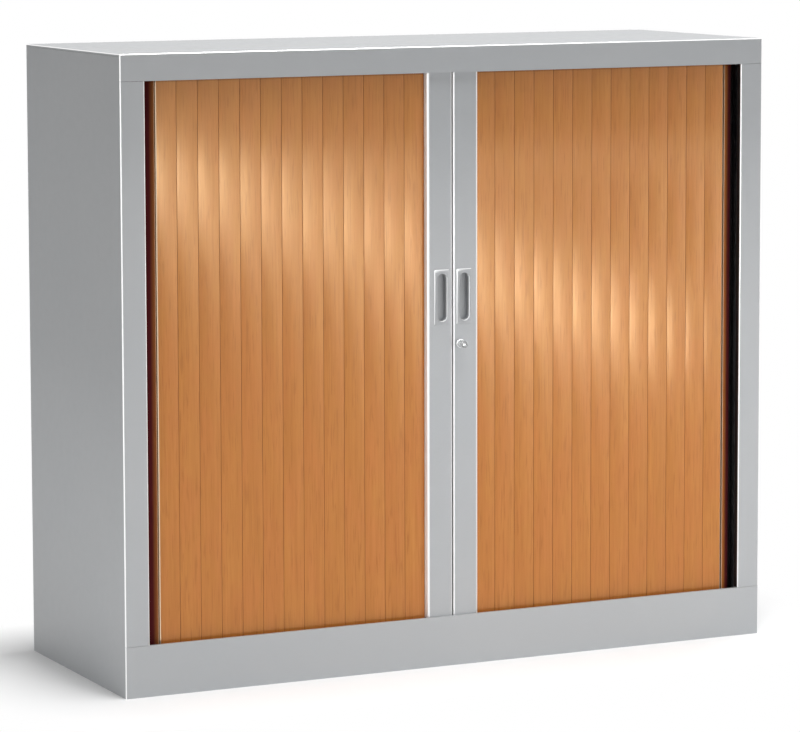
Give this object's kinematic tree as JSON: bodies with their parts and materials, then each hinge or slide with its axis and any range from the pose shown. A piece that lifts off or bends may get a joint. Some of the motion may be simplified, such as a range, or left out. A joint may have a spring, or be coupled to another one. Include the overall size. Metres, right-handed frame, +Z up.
{
  "type": "tambour cabinet",
  "caption": "Low steel office cabinet with two sideways roll-front doors of interlocking wood-grain slats, handle rails with recessed pulls, a cam lock, shelves and levelling feet.",
  "frame": {"origin": "centre of the whole object's box, at floor level", "axes": "+X to the right seen from the front, the front faces -Y, +Z up"},
  "size_m": [1.2, 0.444, 1.05],
  "materials": {
    "carcass_paint": "fine-textured powder coat, silver grey",
    "rail_paint": "aluminium extrusion, powder-coated silver grey, satin",
    "slat_beech": "PVC slat with a beech wood-grain foil, satin",
    "track_plastic": "black guide plastic",
    "pull_plastic": "moulded plastic, satin grey",
    "seal_rubber": "soft matt black",
    "chrome_lock": "bright chrome",
    "zinc_steel": "zinc-plated pressed steel",
    "foot_plastic": "black moulded pad on a zinc-plated stem"
  },
  "bodies": {
    "root": {"left_side_panel": "carcass_paint", "right_side_panel": "carcass_paint", "top_panel": "carcass_paint", "plinth": "carcass_paint", "bottom_panel": "carcass_paint", "back_panel": "carcass_paint", "lower_track": "track_plastic", "upper_track": "track_plastic", "left_liner": "carcass_paint", "right_liner": "carcass_paint", "rear_liner": "carcass_paint", "lower_shelf": "carcass_paint", "upper_shelf": "carcass_paint", "shelf_clips": "zinc_steel", "foot_brackets": "zinc_steel"},
    "left_door": {"left_handle_rail": "rail_paint", "left_pull_cup": "pull_plastic", "left_rail_shoes": "track_plastic", "centre_seal": "seal_rubber", "strike_plate": "zinc_steel"},
    "right_door": {"right_handle_rail": "rail_paint", "right_pull_cup": "pull_plastic", "right_rail_shoes": "track_plastic", "lock_case": "chrome_lock"},
    "lock": {"lock_barrel": "chrome_lock", "lock_cam": "zinc_steel"},
    "left_front_foot": {"left_front_foot": "foot_plastic"},
    "right_front_foot": {"right_front_foot": "foot_plastic"},
    "left_rear_foot": {"left_rear_foot": "foot_plastic"},
    "right_rear_foot": {"right_rear_foot": "foot_plastic"},
    "left_slat_01": {"left_slat_01": "slat_beech"},
    "left_slat_02": {"left_slat_02": "slat_beech"},
    "left_slat_03": {"left_slat_03": "slat_beech"},
    "left_slat_04": {"left_slat_04": "slat_beech"},
    "left_slat_05": {"left_slat_05": "slat_beech"},
    "left_slat_06": {"left_slat_06": "slat_beech"},
    "left_slat_07": {"left_slat_07": "slat_beech"},
    "left_slat_08": {"left_slat_08": "slat_beech"},
    "left_slat_09": {"left_slat_09": "slat_beech"},
    "left_slat_10": {"left_slat_10": "slat_beech"},
    "left_slat_11": {"left_slat_11": "slat_beech"},
    "left_slat_12": {"left_slat_12": "slat_beech"},
    "left_slat_13": {"left_slat_13": "slat_beech"},
    "left_corner_slat": {"left_corner_slat": "slat_beech"},
    "left_tail_slats": {"left_tail_slats": "slat_beech"},
    "right_slat_01": {"right_slat_01": "slat_beech"},
    "right_slat_02": {"right_slat_02": "slat_beech"},
    "right_slat_03": {"right_slat_03": "slat_beech"},
    "right_slat_04": {"right_slat_04": "slat_beech"},
    "right_slat_05": {"right_slat_05": "slat_beech"},
    "right_slat_06": {"right_slat_06": "slat_beech"},
    "right_slat_07": {"right_slat_07": "slat_beech"},
    "right_slat_08": {"right_slat_08": "slat_beech"},
    "right_slat_09": {"right_slat_09": "slat_beech"},
    "right_slat_10": {"right_slat_10": "slat_beech"},
    "right_slat_11": {"right_slat_11": "slat_beech"},
    "right_slat_12": {"right_slat_12": "slat_beech"},
    "right_slat_13": {"right_slat_13": "slat_beech"},
    "right_corner_slat": {"right_corner_slat": "slat_beech"},
    "right_tail_slats": {"right_tail_slats": "slat_beech"}
  },
  "joints": [
    {"name": "left_door_slide", "type": "slide", "parent": "root", "child": "left_door", "axis": [-1, 0, 0], "range_m": [0, 0.505]},
    {"name": "right_door_slide", "type": "slide", "parent": "root", "child": "right_door", "axis": [1, 0, 0], "range_m": [0, 0.505]},
    {"name": "lock_turn", "type": "hinge", "parent": "right_door", "child": "lock", "pos_m": [0.012, -0.202, 0.549], "axis": [0, -1, 0], "range_deg": [0, 90]},
    {"name": "left_front_foot_screw", "type": "slide", "parent": "root", "child": "left_front_foot", "axis": [0, 0, -1], "range_m": [0, 0.015]},
    {"name": "right_front_foot_screw", "type": "slide", "parent": "root", "child": "right_front_foot", "axis": [0, 0, -1], "range_m": [0, 0.015]},
    {"name": "left_rear_foot_screw", "type": "slide", "parent": "root", "child": "left_rear_foot", "axis": [0, 0, -1], "range_m": [0, 0.015]},
    {"name": "right_rear_foot_screw", "type": "slide", "parent": "root", "child": "right_rear_foot", "axis": [0, 0, -1], "range_m": [0, 0.015]},
    {"name": "left_slat_01_slide", "type": "slide", "parent": "root", "child": "left_slat_01", "axis": [-1, 0, 0], "range_m": [0, 0.50945], "deforming": ["left_slat_01"]},
    {"name": "left_slat_02_slide", "type": "slide", "parent": "root", "child": "left_slat_02", "axis": [-1, 0, 0], "range_m": [0, 0.47214], "deforming": ["left_slat_02"]},
    {"name": "left_slat_03_slide", "type": "slide", "parent": "root", "child": "left_slat_03", "axis": [-1, 0, 0], "range_m": [0, 0.43483], "deforming": ["left_slat_03"]},
    {"name": "left_slat_04_slide", "type": "slide", "parent": "root", "child": "left_slat_04", "axis": [-1, 0, 0], "range_m": [0, 0.39752], "deforming": ["left_slat_04"]},
    {"name": "left_slat_05_slide", "type": "slide", "parent": "root", "child": "left_slat_05", "axis": [-1, 0, 0], "range_m": [0, 0.3602], "deforming": ["left_slat_05"]},
    {"name": "left_slat_06_slide", "type": "slide", "parent": "root", "child": "left_slat_06", "axis": [-1, 0, 0], "range_m": [0, 0.32289], "deforming": ["left_slat_06"]},
    {"name": "left_slat_07_slide", "type": "slide", "parent": "root", "child": "left_slat_07", "axis": [-1, 0, 0], "range_m": [0, 0.28558], "deforming": ["left_slat_07"]},
    {"name": "left_slat_08_slide", "type": "slide", "parent": "root", "child": "left_slat_08", "axis": [-1, 0, 0], "range_m": [0, 0.24827], "deforming": ["left_slat_08"]},
    {"name": "left_slat_09_slide", "type": "slide", "parent": "root", "child": "left_slat_09", "axis": [-1, 0, 0], "range_m": [0, 0.21096], "deforming": ["left_slat_09"]},
    {"name": "left_slat_10_slide", "type": "slide", "parent": "root", "child": "left_slat_10", "axis": [-1, 0, 0], "range_m": [0, 0.17365], "deforming": ["left_slat_10"]},
    {"name": "left_slat_11_slide", "type": "slide", "parent": "root", "child": "left_slat_11", "axis": [-1, 0, 0], "range_m": [0, 0.13634], "deforming": ["left_slat_11"]},
    {"name": "left_slat_12_slide", "type": "slide", "parent": "root", "child": "left_slat_12", "axis": [-1, 0, 0], "range_m": [0, 0.09902], "deforming": ["left_slat_12"]},
    {"name": "left_slat_13_slide", "type": "slide", "parent": "root", "child": "left_slat_13", "axis": [-1, 0, 0], "range_m": [0, 0.06171], "deforming": ["left_slat_13"]},
    {"name": "left_corner_slat_turn", "type": "hinge", "parent": "root", "child": "left_corner_slat", "pos_m": [-0.5361, -0.1552, 0.5], "axis": [0, 0, -1], "range_deg": [0, 71.37], "deforming": ["left_corner_slat"]},
    {"name": "left_tail_slats_slide", "type": "slide", "parent": "root", "child": "left_tail_slats", "axis": [0, 1, 0], "range_m": [0, 0.2105], "deforming": ["left_tail_slats"]},
    {"name": "right_slat_01_slide", "type": "slide", "parent": "root", "child": "right_slat_01", "axis": [1, 0, 0], "range_m": [0, 0.50945], "deforming": ["right_slat_01"]},
    {"name": "right_slat_02_slide", "type": "slide", "parent": "root", "child": "right_slat_02", "axis": [1, 0, 0], "range_m": [0, 0.47214], "deforming": ["right_slat_02"]},
    {"name": "right_slat_03_slide", "type": "slide", "parent": "root", "child": "right_slat_03", "axis": [1, 0, 0], "range_m": [0, 0.43483], "deforming": ["right_slat_03"]},
    {"name": "right_slat_04_slide", "type": "slide", "parent": "root", "child": "right_slat_04", "axis": [1, 0, 0], "range_m": [0, 0.39752], "deforming": ["right_slat_04"]},
    {"name": "right_slat_05_slide", "type": "slide", "parent": "root", "child": "right_slat_05", "axis": [1, 0, 0], "range_m": [0, 0.3602], "deforming": ["right_slat_05"]},
    {"name": "right_slat_06_slide", "type": "slide", "parent": "root", "child": "right_slat_06", "axis": [1, 0, 0], "range_m": [0, 0.32289], "deforming": ["right_slat_06"]},
    {"name": "right_slat_07_slide", "type": "slide", "parent": "root", "child": "right_slat_07", "axis": [1, 0, 0], "range_m": [0, 0.28558], "deforming": ["right_slat_07"]},
    {"name": "right_slat_08_slide", "type": "slide", "parent": "root", "child": "right_slat_08", "axis": [1, 0, 0], "range_m": [0, 0.24827], "deforming": ["right_slat_08"]},
    {"name": "right_slat_09_slide", "type": "slide", "parent": "root", "child": "right_slat_09", "axis": [1, 0, 0], "range_m": [0, 0.21096], "deforming": ["right_slat_09"]},
    {"name": "right_slat_10_slide", "type": "slide", "parent": "root", "child": "right_slat_10", "axis": [1, 0, 0], "range_m": [0, 0.17365], "deforming": ["right_slat_10"]},
    {"name": "right_slat_11_slide", "type": "slide", "parent": "root", "child": "right_slat_11", "axis": [1, 0, 0], "range_m": [0, 0.13634], "deforming": ["right_slat_11"]},
    {"name": "right_slat_12_slide", "type": "slide", "parent": "root", "child": "right_slat_12", "axis": [1, 0, 0], "range_m": [0, 0.09902], "deforming": ["right_slat_12"]},
    {"name": "right_slat_13_slide", "type": "slide", "parent": "root", "child": "right_slat_13", "axis": [1, 0, 0], "range_m": [0, 0.06171], "deforming": ["right_slat_13"]},
    {"name": "right_corner_slat_turn", "type": "hinge", "parent": "root", "child": "right_corner_slat", "pos_m": [0.5361, -0.1552, 0.5], "axis": [0, 0, 1], "range_deg": [0, 71.37], "deforming": ["right_corner_slat"]},
    {"name": "right_tail_slats_slide", "type": "slide", "parent": "root", "child": "right_tail_slats", "axis": [0, 1, 0], "range_m": [0, 0.2105], "deforming": ["right_tail_slats"]}
  ],
  "couplings": [
    {"joint": "left_slat_01_slide", "follows": "left_door_slide", "ratio": 1.0078},
    {"joint": "left_slat_02_slide", "follows": "left_door_slide", "ratio": 0.93394},
    {"joint": "left_slat_03_slide", "follows": "left_door_slide", "ratio": 0.86005},
    {"joint": "left_slat_04_slide", "follows": "left_door_slide", "ratio": 0.78617},
    {"joint": "left_slat_05_slide", "follows": "left_door_slide", "ratio": 0.71228},
    {"joint": "left_slat_06_slide", "follows": "left_door_slide", "ratio": 0.6384},
    {"joint": "left_slat_07_slide", "follows": "left_door_slide", "ratio": 0.56452},
    {"joint": "left_slat_08_slide", "follows": "left_door_slide", "ratio": 0.49063},
    {"joint": "left_slat_09_slide", "follows": "left_door_slide", "ratio": 0.41675},
    {"joint": "left_slat_10_slide", "follows": "left_door_slide", "ratio": 0.34286},
    {"joint": "left_slat_11_slide", "follows": "left_door_slide", "ratio": 0.26898},
    {"joint": "left_slat_12_slide", "follows": "left_door_slide", "ratio": 0.19509},
    {"joint": "left_slat_13_slide", "follows": "left_door_slide", "ratio": 0.12121},
    {"joint": "left_corner_slat_turn", "follows": "left_door_slide", "rad_per_m": 2.465},
    {"joint": "left_tail_slats_slide", "follows": "left_door_slide", "ratio": 0.41584},
    {"joint": "right_slat_01_slide", "follows": "right_door_slide", "ratio": 1.0078},
    {"joint": "right_slat_02_slide", "follows": "right_door_slide", "ratio": 0.93394},
    {"joint": "right_slat_03_slide", "follows": "right_door_slide", "ratio": 0.86005},
    {"joint": "right_slat_04_slide", "follows": "right_door_slide", "ratio": 0.78617},
    {"joint": "right_slat_05_slide", "follows": "right_door_slide", "ratio": 0.71228},
    {"joint": "right_slat_06_slide", "follows": "right_door_slide", "ratio": 0.6384},
    {"joint": "right_slat_07_slide", "follows": "right_door_slide", "ratio": 0.56452},
    {"joint": "right_slat_08_slide", "follows": "right_door_slide", "ratio": 0.49063},
    {"joint": "right_slat_09_slide", "follows": "right_door_slide", "ratio": 0.41675},
    {"joint": "right_slat_10_slide", "follows": "right_door_slide", "ratio": 0.34286},
    {"joint": "right_slat_11_slide", "follows": "right_door_slide", "ratio": 0.26898},
    {"joint": "right_slat_12_slide", "follows": "right_door_slide", "ratio": 0.19509},
    {"joint": "right_slat_13_slide", "follows": "right_door_slide", "ratio": 0.12121},
    {"joint": "right_corner_slat_turn", "follows": "right_door_slide", "rad_per_m": 2.465},
    {"joint": "right_tail_slats_slide", "follows": "right_door_slide", "ratio": 0.41584}
  ]
}
